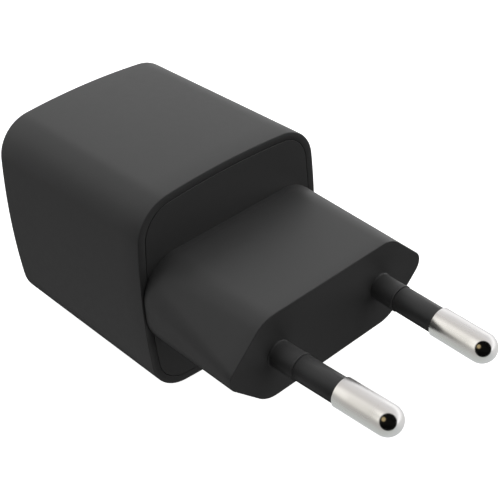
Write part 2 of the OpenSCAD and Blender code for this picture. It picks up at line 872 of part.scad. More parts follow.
module usb_c_tongue() {
    tip_c = 0.15;
    color(chip_black) difference() {
        block(
            [-tongue_w / 2, port_back + port_body_l + 0.02, -tongue_t / 2],
            [tongue_w / 2, port_mouth - tongue_back, tongue_t / 2]
        );
        for (side = [-1, 1])
            translate([0, port_mouth - tongue_back, side * tongue_t / 2]) rotate([45, 0, 0])
                cube([tongue_w + 1, tip_c * sqrt(2), tip_c * sqrt(2)], center = true);
    }
}

// Twelve gold strips on each side of the tongue.
module usb_c_contacts() {
    first_x = -contact_pitch * (contact_n - 1) / 2;
    color([0.85, 0.66, 0.30]) for (side = [-1, 1], i = [0 : contact_n - 1])
        translate([
            first_x + i * contact_pitch - contact_w / 2,
            port_back + port_body_l + 0.1,
            side > 0 ? tongue_t / 2 : -tongue_t / 2 - contact_h
        ])
            cube([contact_w, port_mouth - tongue_back - port_back - port_body_l - 0.5, contact_h]);
}

// A thin sheet sleeve between the wall and the live parts.
module insulating_liner() {
    color([0.90, 0.88, 0.80]) difference() {
        body_prism(liner_in, skirt_y + 0.2, inner_back_y - 0.2);
        body_prism(liner_in + liner_t, skirt_y - 1, inner_back_y + 1);
    }
}

// A bent sheet over the top and both sides.
module heat_spreader() {
    color([0.76, 0.77, 0.78]) difference() {
        body_prism(spreader_in, skirt_y + 0.4, port_y - 0.3);
        body_prism(spreader_in + spreader_t, skirt_y - 1, port_y + 1);
        block([-body_w, rim_y, -body_h], [body_w, back_y, -4]);
    }
}

// Soft filler between the core and the spreader.
module thermal_pad() {
    pad_gap = 0.05;
    pad_x = core_w / 2 - 0.8;
    color([0.55, 0.62, 0.72]) intersection() {
        block(
            [trafo_x - pad_x, trafo_y - core_y / 2, core_z + core_h + pad_gap],
            [trafo_x + pad_x, trafo_y + core_y / 2, body_h / 2]
        );
        body_prism(spreader_in + spreader_t + pad_gap, rim_y, back_y);
    }
}

rear_shell();
front_cap();
left_pin();
right_pin();
left_pin_sleeve();
right_pin_sleeve();
pin_retainer();
left_contact_spring();
right_contact_spring();
input_board();
input_fuse();
inrush_thermistor();
x_capacitor();
choke_core();
choke_winding();
input_link_pins();
main_board();
bridge_rectifier();
bulk_capacitor_cans();
bulk_capacitor_sleeves();
bulk_capacitor_seals();
bulk_capacitor_leads();
primary_controller();
snubber_diode();
snubber_capacitors();
transformer_core();
transformer_bobbin();
transformer_winding();
transformer_tape();
transformer_pins();
y_capacitor();
optocoupler();
port_board();
port_link_pins();
sync_rectifier();
output_capacitors();
port_controller();
output_switch();
ceramic_capacitors();
chip_resistors();
usb_c_shell();
usb_c_body();
usb_c_tongue();
usb_c_contacts();
insulating_liner();
heat_spreader();
thermal_pad();
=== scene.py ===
import json
import math

import bmesh
import bpy
from mathutils import Matrix, Vector

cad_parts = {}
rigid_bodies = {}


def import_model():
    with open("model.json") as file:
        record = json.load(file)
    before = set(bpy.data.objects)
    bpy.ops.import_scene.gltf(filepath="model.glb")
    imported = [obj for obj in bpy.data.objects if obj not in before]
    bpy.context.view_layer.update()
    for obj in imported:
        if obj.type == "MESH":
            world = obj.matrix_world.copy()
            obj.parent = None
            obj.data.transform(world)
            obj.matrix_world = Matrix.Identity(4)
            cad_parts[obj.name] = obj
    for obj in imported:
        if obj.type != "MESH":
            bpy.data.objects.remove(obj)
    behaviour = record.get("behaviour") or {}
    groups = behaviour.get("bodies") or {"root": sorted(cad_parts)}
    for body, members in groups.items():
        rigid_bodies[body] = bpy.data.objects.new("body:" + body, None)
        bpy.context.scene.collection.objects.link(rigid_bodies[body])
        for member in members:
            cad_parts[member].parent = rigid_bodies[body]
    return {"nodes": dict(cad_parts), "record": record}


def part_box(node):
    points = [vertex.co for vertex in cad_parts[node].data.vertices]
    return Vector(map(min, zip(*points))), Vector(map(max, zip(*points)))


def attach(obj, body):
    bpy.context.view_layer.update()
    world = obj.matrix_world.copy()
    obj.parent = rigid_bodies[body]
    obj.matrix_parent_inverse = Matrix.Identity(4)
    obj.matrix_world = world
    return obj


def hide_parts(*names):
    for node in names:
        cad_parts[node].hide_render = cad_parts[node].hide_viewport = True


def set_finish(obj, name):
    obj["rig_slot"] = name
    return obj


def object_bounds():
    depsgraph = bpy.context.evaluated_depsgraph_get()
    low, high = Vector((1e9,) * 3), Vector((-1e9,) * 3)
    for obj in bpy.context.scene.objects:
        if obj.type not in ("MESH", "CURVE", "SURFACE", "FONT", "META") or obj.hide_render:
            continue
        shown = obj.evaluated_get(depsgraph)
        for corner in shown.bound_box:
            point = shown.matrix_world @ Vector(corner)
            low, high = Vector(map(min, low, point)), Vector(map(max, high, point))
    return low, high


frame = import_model()
cad_lo, cad_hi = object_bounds()
nodes = frame["nodes"]

# ---------------------------------------------------------------- sizes, in millimetres
MM = 0.001
shell_lo, shell_hi = (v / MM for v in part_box("rear_shell"))
RIM_Y, BACK_Y = shell_lo.y, shell_hi.y
HALF_W, HALF_H = 15.9, 15.9
CORNER_R, BULGE_R = 5.9, 110.0
BACK_EDGE = 0.6
WALL, RIM_T = 2.0, 1.15
SEAM, SEAM_SEEN, SEAM_EDGE = 0.15, 0.06, 0.06
CAP_T, SKIRT_L, SKIRT_T, SKIRT_GAP = 2.4, 3.0, 1.2, 0.1
FRONT_EDGE = 0.12
PLATE_Y = RIM_Y + CAP_T
INNER_BACK = BACK_Y - WALL

NOSE_W, NOSE_H, FLAT_W = 34.7, 13.1, 23.0
FLAT_R, SIDE_R = 4.5, 2.0
ROOT_W, ROOT_H, ROOT_R = 31.3, 14.0, 5.85
FACE_T, NOSE_WALL = 2.8, 1.9
ROOT_GAP, ROOT_EDGE = 0.1, 0.1
NECK_IN, NECK_L = 0.2, 0.6
ROOM_FRONT_IN, ROOM_ROOT_IN, ROOM_R = 8.6, 6.2, 3.0

PIN_D, PIN_L = 4.0, 19.0
PIN_PITCH, TIP_PITCH = 18.5, 17.2
LEAN = math.asin((PIN_PITCH - TIP_PITCH) / 2 / PIN_L)
INSULATED, SLEEVE_D = 10.2, 3.56
COLLAR_D, COLLAR_L, COLLAR_FILLET = 3.64, 3.8, 0.15
LIP_H, LIP_L, LIP_SLOPE = 0.06, 0.25, 0.11
BOSS_R, BOSS_END, BOSS_IN = 3.2, 7.0, 0.5
CORE_R, FIT = 1.25, 0.05
# The pin's hidden end: a grip with two grooves, then a thin tail.
GRIP_R, GROOVE_R, GRIP_IN, GRIP_END, SOCKET_R = 1.8, 1.55, 0.85, 6.4, 1.85
GROOVES = ((2.2, 3.0), (3.8, 4.6))
TAIL_R, TAIL_END, TAIL_CUT = 1.45, 9.2, 0.15
SATIN_FROM, SATIN_TO = -17.4, -15.5

PORT_W, PORT_H, PORT_SHEET, PORT_SINK = 8.34, 2.56, 0.3, 0.4
PORT_MOUTH = BACK_Y - PORT_SINK
PORT_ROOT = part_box("usb_c_shell")[0].y / MM
RIM_STEP = 0.35


# ---------------------------------------------------------------- mesh helpers
def new_object(name, bm, node, slot, smooth_angle=35):
    """Makes an object in metres from a bmesh in millimetres, in place of a CAD node."""
    bmesh.ops.remove_doubles(bm, verts=bm.verts, dist=1e-5)
    bmesh.ops.dissolve_degenerate(bm, edges=bm.edges, dist=1e-5)
    bmesh.ops.recalc_face_normals(bm, faces=bm.faces)
    bm.transform(Matrix.Scale(MM, 4))
    mesh = bpy.data.meshes.new(name)
    bm.to_mesh(mesh)
    bm.free()
    for p in mesh.polygons:
        p.use_smooth = True
    mesh.set_sharp_from_angle(angle=math.radians(smooth_angle))
    o = bpy.data.objects.new(name, mesh)
    bpy.context.scene.collection.objects.link(o)
    if node:
        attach(o, "root")
        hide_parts(node)
        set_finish(o, slot)
    return o


def loft(bm, rings, cap_start=False, cap_end=False, closed=False):
    """Joins rings of (x, y, z), each with as many points, with quads."""
    made = [[bm.verts.new(p) for p in ring] for ring in rings]
    pairs = list(zip(made, made[1:]))
    if closed:
        pairs.append((made[-1], made[0]))
    n = len(made[0])
    for a, b in pairs:
        for i in range(n):
            j = (i + 1) % n
            bm.faces.new((a[i], a[j], b[j], b[i]))
    if cap_start:
        bm.faces.new(list(reversed(made[0])))
    if cap_end:
        bm.faces.new(made[-1])
    return made


def arc(cx, cz, r, a0, a1, n):
    """n + 1 points of an arc in the XZ plane. Angles in degrees."""
    return [
        (
            cx + r * math.cos(math.radians(a0 + (a1 - a0) * i / n)),
            cz + r * math.sin(math.radians(a0 + (a1 - a0) * i / n)),
        )
        for i in range(n + 1)
    ]


def body_outline(inset, side_n=14, corner_n=16):
    """The body's section: four wide arcs joined by four tangent corner arcs."""
    cx, cz = HALF_W - BULGE_R, HALF_H - BULGE_R
    span = math.hypot(cx, cz)
    rise = math.sqrt((BULGE_R - CORNER_R) ** 2 - (span / 2) ** 2)
    qx, qz = cx / 2 - cz * rise / span, cz / 2 - cx * rise / span
    side = math.degrees(math.atan2(qz, qx - cx))
    top = math.degrees(math.atan2(qx, qz - cz))
    r, rc = BULGE_R - inset, CORNER_R - inset
    pts = arc(cx, 0, r, 0, side, side_n // 2)[:-1]
    pts += arc(qx, qz, rc, side, 90 - top, corner_n)
    pts += arc(0, cz, r, 90 - top, 90 + top, side_n)[1:-1]
    pts += arc(-qx, qz, rc, 90 + top, 180 - side, corner_n)
    pts += arc(-cx, 0, r, 180 - side, 180 + side, side_n)[1:-1]
    pts += arc(-qx, -qz, rc, 180 + side, 270 - top, corner_n)
    pts += arc(0, -cz, r, 270 - top, 270 + top, side_n)[1:-1]
    pts += arc(qx, -qz, rc, 270 + top, 360 - side, corner_n)
    pts += arc(cx, 0, r, -side, 0, side_n // 2)[1:-1]
    return pts


def at_y(pts, y):
    return [(x, y, z) for x, z in pts]


def resample(pts, shares):
    """Points of a closed outline at these shares of its length from its first point."""
    lens = [0.0]
    n = len(pts)
    for i in range(n):
        a, b = pts[i], pts[(i + 1) % n]
        lens.append(lens[-1] + math.hypot(b[0] - a[0], b[1] - a[1]))
    out, k = [], 0
    for s in shares:
        want = s * lens[-1]
        while lens[k + 1] < want:
            k += 1
        a, b = pts[k], pts[(k + 1) % n]
        t = (want - lens[k]) / max(lens[k + 1] - lens[k], 1e-9)
        out.append((a[0] + (b[0] - a[0]) * t, a[1] + (b[1] - a[1]) * t))
    return out


def shares_of(pts):
    n = len(pts)
    lens = [0.0]
    for i in range(n):
        a, b = pts[i], pts[(i + 1) % n]
        lens.append(lens[-1] + math.hypot(b[0] - a[0], b[1] - a[1]))
    return [v / lens[-1] for v in lens[:-1]]


def slot_outline(w, h, n=24):
    """A flat slot with round ends, from the middle of its right end."""
    c = (w - h) / 2
    pts = arc(c, 0, h / 2, 0, 90, n // 2)
    pts += arc(-c, 0, h / 2, 90, 270, n)
    pts += arc(c, 0, h / 2, 270, 360, n // 2)[:-1]
    return pts


def boolean(target, tool, operation):
    """Applies one boolean to an object's mesh and removes the tool."""
    mod = target.modifiers.new("cut", "BOOLEAN")
    mod.operation, mod.object, mod.solver = operation, tool, "EXACT"
    dg = bpy.context.evaluated_depsgraph_get()
    made = bpy.data.meshes.new_from_object(target.evaluated_get(dg))
    target.modifiers.clear()
    old, target.data = target.data, made
    made.name = old.name
    bpy.data.meshes.remove(old)
    mesh = tool.data
    bpy.data.objects.remove(tool)
    bpy.data.meshes.remove(mesh)


def revolve(bm, profile, n=96, matrix=None, ring=False):
    """Turns (radius, z) points about Z. A radius of 0 at either end closes it, and ring joins the ends."""
    rings = []
    for r, z in profile:
        rings.append([
            Vector((r * math.cos(2 * math.pi * i / n), r * math.sin(2 * math.pi * i / n), z))
            for i in range(n)
        ])
    if matrix is not None:
        rings = [[matrix @ p for p in g] for g in rings]
    loft(bm, rings, closed=ring)


def on_pin(side):
    """The frame of a pin: z = 0 at the engagement face, +z into the body."""
    return (
        Matrix.Translation((side * PIN_PITCH / 2, 0, 0))
        @ Matrix.Rotation(-side * LEAN, 4, "Z")
        @ Matrix.Rotation(-math.pi / 2, 4, "X")
    )


# ---------------------------------------------------------------- the case
def build_shell():
    bm = bmesh.new()
    base = body_outline(0)
    shares = shares_of(base)
    edge = FRONT_EDGE
    rings = [at_y(body_outline(edge * (1 - math.sin(a))), RIM_Y + edge * (1 - math.cos(a)))
             for a in (math.radians(d) for d in (0, 30, 60, 90))]
    for k in range(1, 8):
        rings.append(at_y(base, RIM_Y + edge + (BACK_Y - BACK_EDGE - RIM_Y - edge) * k / 8))
    for d in range(0, 91, 10):
        a = math.radians(d)
        rings.append(at_y(body_outline(BACK_EDGE * (1 - math.cos(a))),
                          BACK_Y - BACK_EDGE * (1 - math.sin(a))))
    rings.append(at_y(body_outline(1.2), BACK_Y))
    rings.append(at_y(body_outline(3.5), BACK_Y))
    lip_w, lip_h = PORT_W + 2 * PORT_SHEET + 2 * RIM_STEP, PORT_H + 2 * PORT_SHEET + 2 * RIM_STEP
    low_w, low_h = PORT_W + 2 * PORT_SHEET + 4 * FIT, PORT_H + 2 * PORT_SHEET + 4 * FIT
    soft = 0.1
    for w, h, y in (
        (lip_w + 5 * soft, lip_h + 5 * soft, BACK_Y),
        (lip_w + 2 * soft, lip_h + 2 * soft, BACK_Y),
        (lip_w + 0.6 * soft, lip_h + 0.6 * soft, BACK_Y - 0.3 * soft),
        (lip_w, lip_h, BACK_Y - soft),
        (lip_w, lip_h, PORT_MOUTH),
        (low_w, low_h, PORT_MOUTH),
        (low_w, low_h, INNER_BACK),
    ):
        rings.append(at_y(resample(slot_outline(w, h), shares), y))
    rings.append(at_y(body_outline(WALL), INNER_BACK))
    rings.append(at_y(body_outline(WALL), PLATE_Y))
    rings.append(at_y(body_outline(RIM_T), PLATE_Y))
    rings.append(at_y(body_outline(RIM_T), RIM_Y + SEAM_EDGE))
    rings.append(at_y(body_outline(RIM_T - 0.35 * SEAM_EDGE), RIM_Y + 0.35 * SEAM_EDGE))
    rings.append(at_y(body_outline(RIM_T - SEAM_EDGE), RIM_Y))
    loft(bm, rings, closed=True)
    return new_object("case_shell", bm, "rear_shell", "case_plastic", 30)


def nose_outlines(arc_n=10, flat_n=6):
    """Matching points of the nose's front and root outlines, each pair with the way it faces."""
    edge_x = NOSE_W / 2 - SIDE_R
    flat = Vector((FLAT_W / 2 - FLAT_R * (math.sqrt(2) - 1), NOSE_H / 2 - FLAT_R))
    root = Vector((ROOT_W / 2 - ROOT_R, ROOT_H / 2 - ROOT_R))
    side = Vector((edge_x, 0))
    between = flat - side
    slope = math.atan2(between.y, between.x) - math.acos((SIDE_R - FLAT_R) / between.length)

    def out(a):
        return Vector((math.cos(a), math.sin(a)))

    quarter = [(Vector((edge_x + SIDE_R, 0)), Vector((root.x + ROOT_R, 0)), out(0))]
    for i in range(arc_n + 1):
        n = out(slope * i / arc_n)
        quarter.append((side + SIDE_R * n, root + ROOT_R * n, n))
    n = out(slope)
    for i in range(1, flat_n + 1):
        quarter.append(((side + SIDE_R * n).lerp(flat + FLAT_R * n, i / flat_n), root + ROOT_R * n, n))
    for i in range(1, arc_n + 1):
        n = out(slope + (math.pi / 2 - slope) * i / arc_n)
        quarter.append((flat + FLAT_R * n, root + ROOT_R * n, n))
    for i in range(1, flat_n + 1):
        t = 1 - i / flat_n
        quarter.append((Vector((flat.x * t, flat.y + FLAT_R)), Vector((root.x * t, root.y + ROOT_R)), n))

    def flip(rows, sx, sz):
        return [tuple(Vector((sx * v.x, sz * v.y)) for v in row) for row in rows]

    return (
        quarter
        + list(reversed(flip(quarter, -1, 1)))[1:]
        + flip(quarter, -1, -1)[1:]
        + list(reversed(flip(quarter, 1, -1)))[1:-1]
    )


def nose_ring(y, inset=0.0):
    """The nose's outline at y, drawn inwards by an inset."""
    t = y / (RIM_Y - ROOT_GAP)
    return [(p.x, y, p.y) for p in (front.lerp(root, t) - inset * n for front, root, n in nose_outlines())]


def rounded_rect(w, h, r, n=10):
    c, d = w / 2 - r, h / 2 - r
    pts = []
    for sx, sz, a in ((1, 1, 0), (-1, 1, 90), (-1, -1, 180), (1, -1, 270)):
        pts += arc(sx * c, sz * d, r, a, a + 90, n)
    return pts


def solid(rings):
    bm = bmesh.new()
    loft(bm, rings, cap_start=True, cap_end=True)
    return new_object("tool", bm, None, None)


def tube_solid(side, profile, n=64):
    bm = bmesh.new()
    revolve(bm, profile, n, on_pin(side))
    return new_object("tool", bm, None, None)


def collar_profile():
    """The collar with its front lip, its fillet onto the face, and the boss behind the face."""
    r, lip, soft, f = COLLAR_D / 2, COLLAR_D / 2 + LIP_H, 0.05, COLLAR_FILLET
    turns = [math.radians(d) for d in range(0, 91, 9)]
    fillet = [(r + f - f * math.cos(a), f * math.sin(a) - f) for a in turns]
    return [
        (0, -COLLAR_L),
        (lip - soft, -COLLAR_L),
        (lip - 0.3 * soft, 0.3 * soft - COLLAR_L),
        (lip, soft - COLLAR_L),
        (lip, LIP_L - COLLAR_L),
        (r, LIP_L + LIP_SLOPE - COLLAR_L),
        *fillet,
        (r + f, FACE_T - BOSS_IN),
        (BOSS_R, FACE_T - BOSS_IN),
        (BOSS_R, BOSS_END),
        (0, BOSS_END),
    ]


def build_cap():
    edge = FRONT_EDGE
    end = RIM_Y - ROOT_GAP
    rings = [nose_ring(edge * (1 - math.cos(a)), edge * (1 - math.sin(a)))
             for a in (math.radians(d) for d in (0, 22.5, 45, 67.5, 90))]
    rings += [nose_ring(edge + (end - ROOT_EDGE - edge) * k / 10) for k in range(1, 11)]
    rings += [nose_ring(end - 0.3 * ROOT_EDGE, 0.3 * ROOT_EDGE), nose_ring(end, ROOT_EDGE)]
    bm = bmesh.new()
    loft(bm, rings, cap_start=True, cap_end=True)
    cap = new_object("front_cap_moulding", bm, "front_cap", "case_plastic")
    # the neck, cut off inside the seam
    limit = HALF_W - RIM_T - SEAM - NECK_IN
    neck = [(max(-limit, min(limit, x)), z)
            for x, z in rounded_rect(ROOT_W - 0.3, ROOT_H - 0.02, ROOT_R - 0.1, 24)]
    boolean(cap, solid([at_y(neck, end - 1), at_y(neck, RIM_Y + NECK_L)]), "UNION")
    # the flush plate and its skirt
    t, soft = RIM_T + SEAM_SEEN, SEAM_EDGE
    plate = [at_y(body_outline(t + soft * (1 - math.sin(a))), RIM_Y + soft * (1 - math.cos(a)))
             for a in (math.radians(d) for d in (0, 30, 60, 90))]
    plate += [at_y(body_outline(t), PLATE_Y), at_y(body_outline(WALL + SKIRT_GAP), PLATE_Y),
              at_y(body_outline(WALL + SKIRT_GAP), PLATE_Y + SKIRT_L),
              at_y(body_outline(WALL + SKIRT_GAP + SKIRT_T), PLATE_Y + SKIRT_L),
              at_y(body_outline(WALL + SKIRT_GAP + SKIRT_T), PLATE_Y)]
    boolean(cap, solid(plate), "UNION")
    # the hollow of the nose
    room_front = rounded_rect(NOSE_W - ROOM_FRONT_IN, NOSE_H - 2 * NOSE_WALL, ROOM_R)
    room_back = rounded_rect(ROOT_W - ROOM_ROOT_IN, ROOT_H - 2 * NOSE_WALL, ROOM_R)
    boolean(cap, solid([at_y(room_front, FACE_T), at_y(room_back, PLATE_Y + 1)]), "DIFFERENCE")
    for side in (-1, 1):
        boolean(cap, tube_solid(side, collar_profile(), 96), "UNION")
        bore = [(0, -5), (CORE_R + FIT, -5), (CORE_R + FIT, 0.8), (SOCKET_R, 0.8), (SOCKET_R, 8.0), (0, 8.0)]
        boolean(cap, tube_solid(side, bore), "DIFFERENCE")
    finish_cap(cap)
    return cap


def finish_cap(cap):
    """Smooths the moulding, and keeps each wide flat face flat where a fillet runs into it."""
    mesh = cap.data
    for p in mesh.polygons:
        p.use_smooth = True
    mesh.set_sharp_from_angle(angle=math.radians(24))
    wide = {key for p in mesh.polygons if len(p.vertices) > 40 for key in p.edge_keys}
    sharp = mesh.attributes["sharp_edge"].data
    for e in mesh.edges:
        if e.key in wide:
            sharp[e.index].value = True


def build_pin(side):
    """A pin from its round tip to its tail, with a thin core under the insulation."""
    r, soft = PIN_D / 2, 0.06
    shoulder = -INSULATED
    prof = [(r * math.sin(a), r - PIN_L - r * math.cos(a))
            for a in (math.radians(d) for d in range(0, 91, 5))]
    prof += [(r, -14.5), (r, -12.5), (r, shoulder - soft), (r - 0.3 * soft, shoulder - 0.3 * soft),
             (r - soft, shoulder), (CORE_R, shoulder), (CORE_R, GRIP_IN), (GRIP_R, GRIP_IN)]
    for start, end in GROOVES:
        prof += [(GRIP_R, start), (GROOVE_R, start), (GROOVE_R, end), (GRIP_R, end)]
    prof += [(GRIP_R, GRIP_END), (TAIL_R, GRIP_END), (TAIL_R, TAIL_END - TAIL_CUT),
             (TAIL_R - TAIL_CUT, TAIL_END), (0, TAIL_END)]
    bm = bmesh.new()
    revolve(bm, prof, 128, on_pin(side))
    name = "left_pin" if side < 0 else "right_pin"
    return new_object(name + "_metal", bm, name, "pin_nickel", 30)


def build_sleeve(side):
    r, soft = SLEEVE_D / 2, 0.05
    a, b = FIT - INSULATED, -COLLAR_L - 0.08
    bore = CORE_R + 0.02
    prof = [(bore, a), (r - soft, a), (r - 0.3 * soft, a + 0.3 * soft), (r, a + soft), (r, (a + b) / 2),
            (r, b - soft), (r - 0.3 * soft, b - 0.3 * soft), (r - soft, b), (bore, b)]
    bm = bmesh.new()
    revolve(bm, prof, 96, on_pin(side), ring=True)
    name = "left_pin_sleeve" if side < 0 else "right_pin_sleeve"
    return new_object(name + "_skin", bm, name, "sleeve_plastic", 30)


# ---------------------------------------------------------------- the port
def build_port():
    bm = bmesh.new()
    soft = 0.1

    def ring(grow, y):
        return at_y(slot_outline(PORT_W + grow, PORT_H + grow), y)

    t = 2 * PORT_SHEET
    rings = [ring(0, PORT_ROOT), ring(0, PORT_MOUTH - 0.12), ring(0.07, PORT_MOUTH - 0.035),
             ring(0.24, PORT_MOUTH), ring(t - 0.2, PORT_MOUTH), ring(t - 0.06, PORT_MOUTH - 0.03),
             ring(t, PORT_MOUTH - soft), ring(t, PORT_ROOT)]
    loft(bm, rings, closed=True)
    shell = new_object("port_metal", bm, "usb_c_shell", "port_steel", 30)

    lo, hi = (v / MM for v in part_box("usb_c_tongue"))
    bm = bmesh.new()
    w, h = hi.x - lo.x, hi.z - lo.z
    rings = [at_y(rounded_rect(w, h, 0.08, 4), lo.y), at_y(rounded_rect(w, h, 0.08, 4), hi.y - 0.3),
             at_y(rounded_rect(w - 0.1, h - 0.12, 0.08, 4), hi.y - 0.1),
             at_y(rounded_rect(w - 0.4, h - 0.34, 0.08, 4), hi.y)]
    loft(bm, rings, cap_start=True, cap_end=True)
    tongue = new_object("port_tongue", bm, "usb_c_tongue", "port_black", 40)
    return shell, tongue


# ---------------------------------------------------------------- materials
def links(tree, *pairs):
    for a, b in pairs:
        tree.links.new(a, b)


def node(tree, kind, **values):
    n = tree.nodes.new(kind)
    for k, v in values.items():
        if k in n.inputs:
            n.inputs[k].default_value = v
        else:
            setattr(n, k, v)
    return n


def set_range(ramp, *values):
    """Sets a Map Range node's two ranges."""
    for key, value in zip(("From Min", "From Max", "To Min", "To Max"), values):
        ramp.inputs[key].default_value = value


# Where a Mix node keeps its two colours and its result.
MIX_A, MIX_B, MIX_OUT = 6, 7, 2


def make_material(
    name, low, high, rough=(0.4, 0.5), metallic=0.0, specular=0.5, scale=900.0, stretch=(1, 1, 1),
    bump=0.02, bump_scale=9000.0, bump_distance=1e-5, coat=0.0, satin=None,
):
    """A surface whose colour, roughness and height vary with two noises, one broad and one fine.

    satin is (y where it starts, y where it is full, added roughness), with y in millimetres.
    """
    m = bpy.data.materials.new(name)
    m.use_nodes = True
    t = m.node_tree
    bsdf = t.nodes["Principled BSDF"]
    bsdf.inputs["Metallic"].default_value = metallic
    bsdf.inputs["Specular IOR Level"].default_value = specular
    bsdf.inputs["Coat Weight"].default_value = coat
    coord = node(t, "ShaderNodeTexCoord")
    place = node(t, "ShaderNodeMapping", Scale=stretch)
    broad = node(t, "ShaderNodeTexNoise", Scale=scale, Detail=4.0, Roughness=0.6)
    fine = node(t, "ShaderNodeTexNoise", Scale=bump_scale, Detail=3.0, Roughness=0.6)
    colour = node(t, "ShaderNodeMix", data_type="RGBA")
    colour.inputs[MIX_A].default_value = (*low, 1)
    colour.inputs[MIX_B].default_value = (*high, 1)
    shine = node(t, "ShaderNodeMapRange")
    set_range(shine, 0.3, 0.7, *rough)
    lift = node(t, "ShaderNodeBump", Strength=bump, Distance=bump_distance)
    links(
        t,
        (coord.outputs["Object"], place.inputs["Vector"]),
        (place.outputs["Vector"], broad.inputs["Vector"]),
        (place.outputs["Vector"], fine.inputs["Vector"]),
        (broad.outputs["Fac"], colour.inputs["Factor"]),
        (colour.outputs[MIX_OUT], bsdf.inputs["Base Color"]),
        (broad.outputs["Fac"], shine.inputs["Value"]),
        (shine.outputs["Result"], bsdf.inputs["Roughness"]),
        (fine.outputs["Fac"], lift.inputs["Height"]),
        (lift.outputs["Normal"], bsdf.inputs["Normal"]),
    )
    if satin:
        start, full, more = satin
        split = node(t, "ShaderNodeSeparateXYZ")
        along = node(t, "ShaderNodeMapRange", interpolation_type="SMOOTHSTEP")
        set_range(along, start * MM, full * MM, 0.0, more)
        total = node(t, "ShaderNodeMath", operation="ADD")
        links(
            t,
            (coord.outputs["Object"], split.inputs[0]),
            (split.outputs["Y"], along.inputs["Value"]),
            (along.outputs["Result"], total.inputs[0]),
            (shine.outputs["Result"], total.inputs[1]),
            (total.outputs[0], bsdf.inputs["Roughness"]),
        )
    return m


LOOKS = {
    "case_plastic": dict(low=(0.054, 0.054, 0.054), high=(0.062, 0.062, 0.062), rough=(0.44, 0.5),
                         specular=0.4, bump=0.35, bump_scale=7000.0, bump_distance=8e-6),
    "sleeve_plastic": dict(low=(0.045, 0.045, 0.045), high=(0.053, 0.053, 0.053), rough=(0.42, 0.50),
                           specular=0.4, bump=0.2, bump_scale=6000.0, bump_distance=6e-6),
    "pin_nickel": dict(low=(0.84, 0.825, 0.80), high=(0.92, 0.91, 0.89), rough=(0.08, 0.16), metallic=1.0,
                       satin=(SATIN_FROM, SATIN_TO, 0.17), scale=700.0, stretch=(1, 0.06, 1),
                       bump=0.12, bump_scale=3000.0, bump_distance=6e-6),
    "port_steel": dict(low=(0.55, 0.56, 0.58), high=(0.72, 0.73, 0.75), rough=(0.22, 0.34), metallic=1.0,
                       stretch=(1, 0.1, 1), bump=0.1),
    "port_black": dict(low=(0.018, 0.018, 0.019), high=(0.03, 0.03, 0.032), rough=(0.35, 0.5)),
    "gold": dict(low=(0.80, 0.56, 0.22), high=(0.92, 0.70, 0.34), rough=(0.18, 0.3), metallic=1.0),
    "natural_nylon": dict(low=(0.72, 0.68, 0.58), high=(0.82, 0.79, 0.70), rough=(0.45, 0.6)),
    "copper": dict(low=(0.62, 0.30, 0.16), high=(0.80, 0.45, 0.26), rough=(0.2, 0.38), metallic=1.0),
    "board": dict(low=(0.02, 0.14, 0.08), high=(0.04, 0.22, 0.13), rough=(0.3, 0.45), coat=0.3),
    "tinned": dict(low=(0.62, 0.63, 0.64), high=(0.78, 0.79, 0.80), rough=(0.22, 0.36), metallic=1.0),
    "chip": dict(low=(0.02, 0.02, 0.022), high=(0.04, 0.04, 0.043), rough=(0.5, 0.65)),
    "fuse_plastic": dict(low=(0.36, 0.07, 0.04), high=(0.48, 0.11, 0.07), rough=(0.4, 0.5)),
    "thermistor_coat": dict(low=(0.03, 0.12, 0.08), high=(0.06, 0.18, 0.12), rough=(0.25, 0.4)),
    "film_capacitor": dict(low=(0.66, 0.48, 0.08), high=(0.78, 0.60, 0.13), rough=(0.4, 0.5)),
    "y_capacitor_coat": dict(low=(0.07, 0.16, 0.36), high=(0.11, 0.22, 0.46), rough=(0.35, 0.5)),
    "ferrite": dict(low=(0.05, 0.05, 0.055), high=(0.09, 0.09, 0.095), rough=(0.5, 0.7), bump=0.3),
    "can_aluminium": dict(low=(0.66, 0.67, 0.68), high=(0.80, 0.81, 0.82), rough=(0.25, 0.4), metallic=1.0),
    "can_sleeve": dict(low=(0.03, 0.035, 0.05), high=(0.05, 0.055, 0.075), rough=(0.25, 0.38), coat=0.2),
    "seal_rubber": dict(low=(0.03, 0.03, 0.03), high=(0.06, 0.06, 0.06), rough=(0.6, 0.8)),
    "tape": dict(low=(0.76, 0.56, 0.05), high=(0.88, 0.70, 0.10), rough=(0.22, 0.35)),
    "ceramic_tan": dict(low=(0.42, 0.29, 0.17), high=(0.54, 0.40, 0.25), rough=(0.4, 0.55)),
    "polymer_case": dict(low=(0.54, 0.37, 0.11), high=(0.66, 0.47, 0.16), rough=(0.4, 0.5)),
    "liner": dict(low=(0.74, 0.69, 0.56), high=(0.86, 0.82, 0.70), rough=(0.6, 0.75), bump=0.2),
    "spreader": dict(low=(0.62, 0.63, 0.64), high=(0.76, 0.77, 0.78), rough=(0.28, 0.42), metallic=1.0,
                     stretch=(1, 0.1, 1)),
    "gap_pad": dict(low=(0.30, 0.38, 0.50), high=(0.40, 0.48, 0.60), rough=(0.6, 0.75)),
}
materials = {name: make_material(name, **look) for name, look in LOOKS.items()}


def dress(o, name):
    o.data.materials.clear()
    o.data.materials.append(materials[name])


made = [build_shell(), build_cap(), *build_port()]
for side in (-1, 1):
    made += [build_pin(side), build_sleeve(side)]
for o in made:
    dress(o, o["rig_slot"])
node_slot = {s["node"]: s["material_slot"] for s in frame["record"]["subparts"]}
for name, o in nodes.items():
    dress(o, node_slot[name])


# ---------------------------------------------------------------- stage
def stage_object(name, bm):
    mesh = bpy.data.meshes.new(name)
    bm.to_mesh(mesh)
    bm.free()
    o = bpy.data.objects.new(name, mesh)
    bpy.context.scene.collection.objects.link(o)
    return o


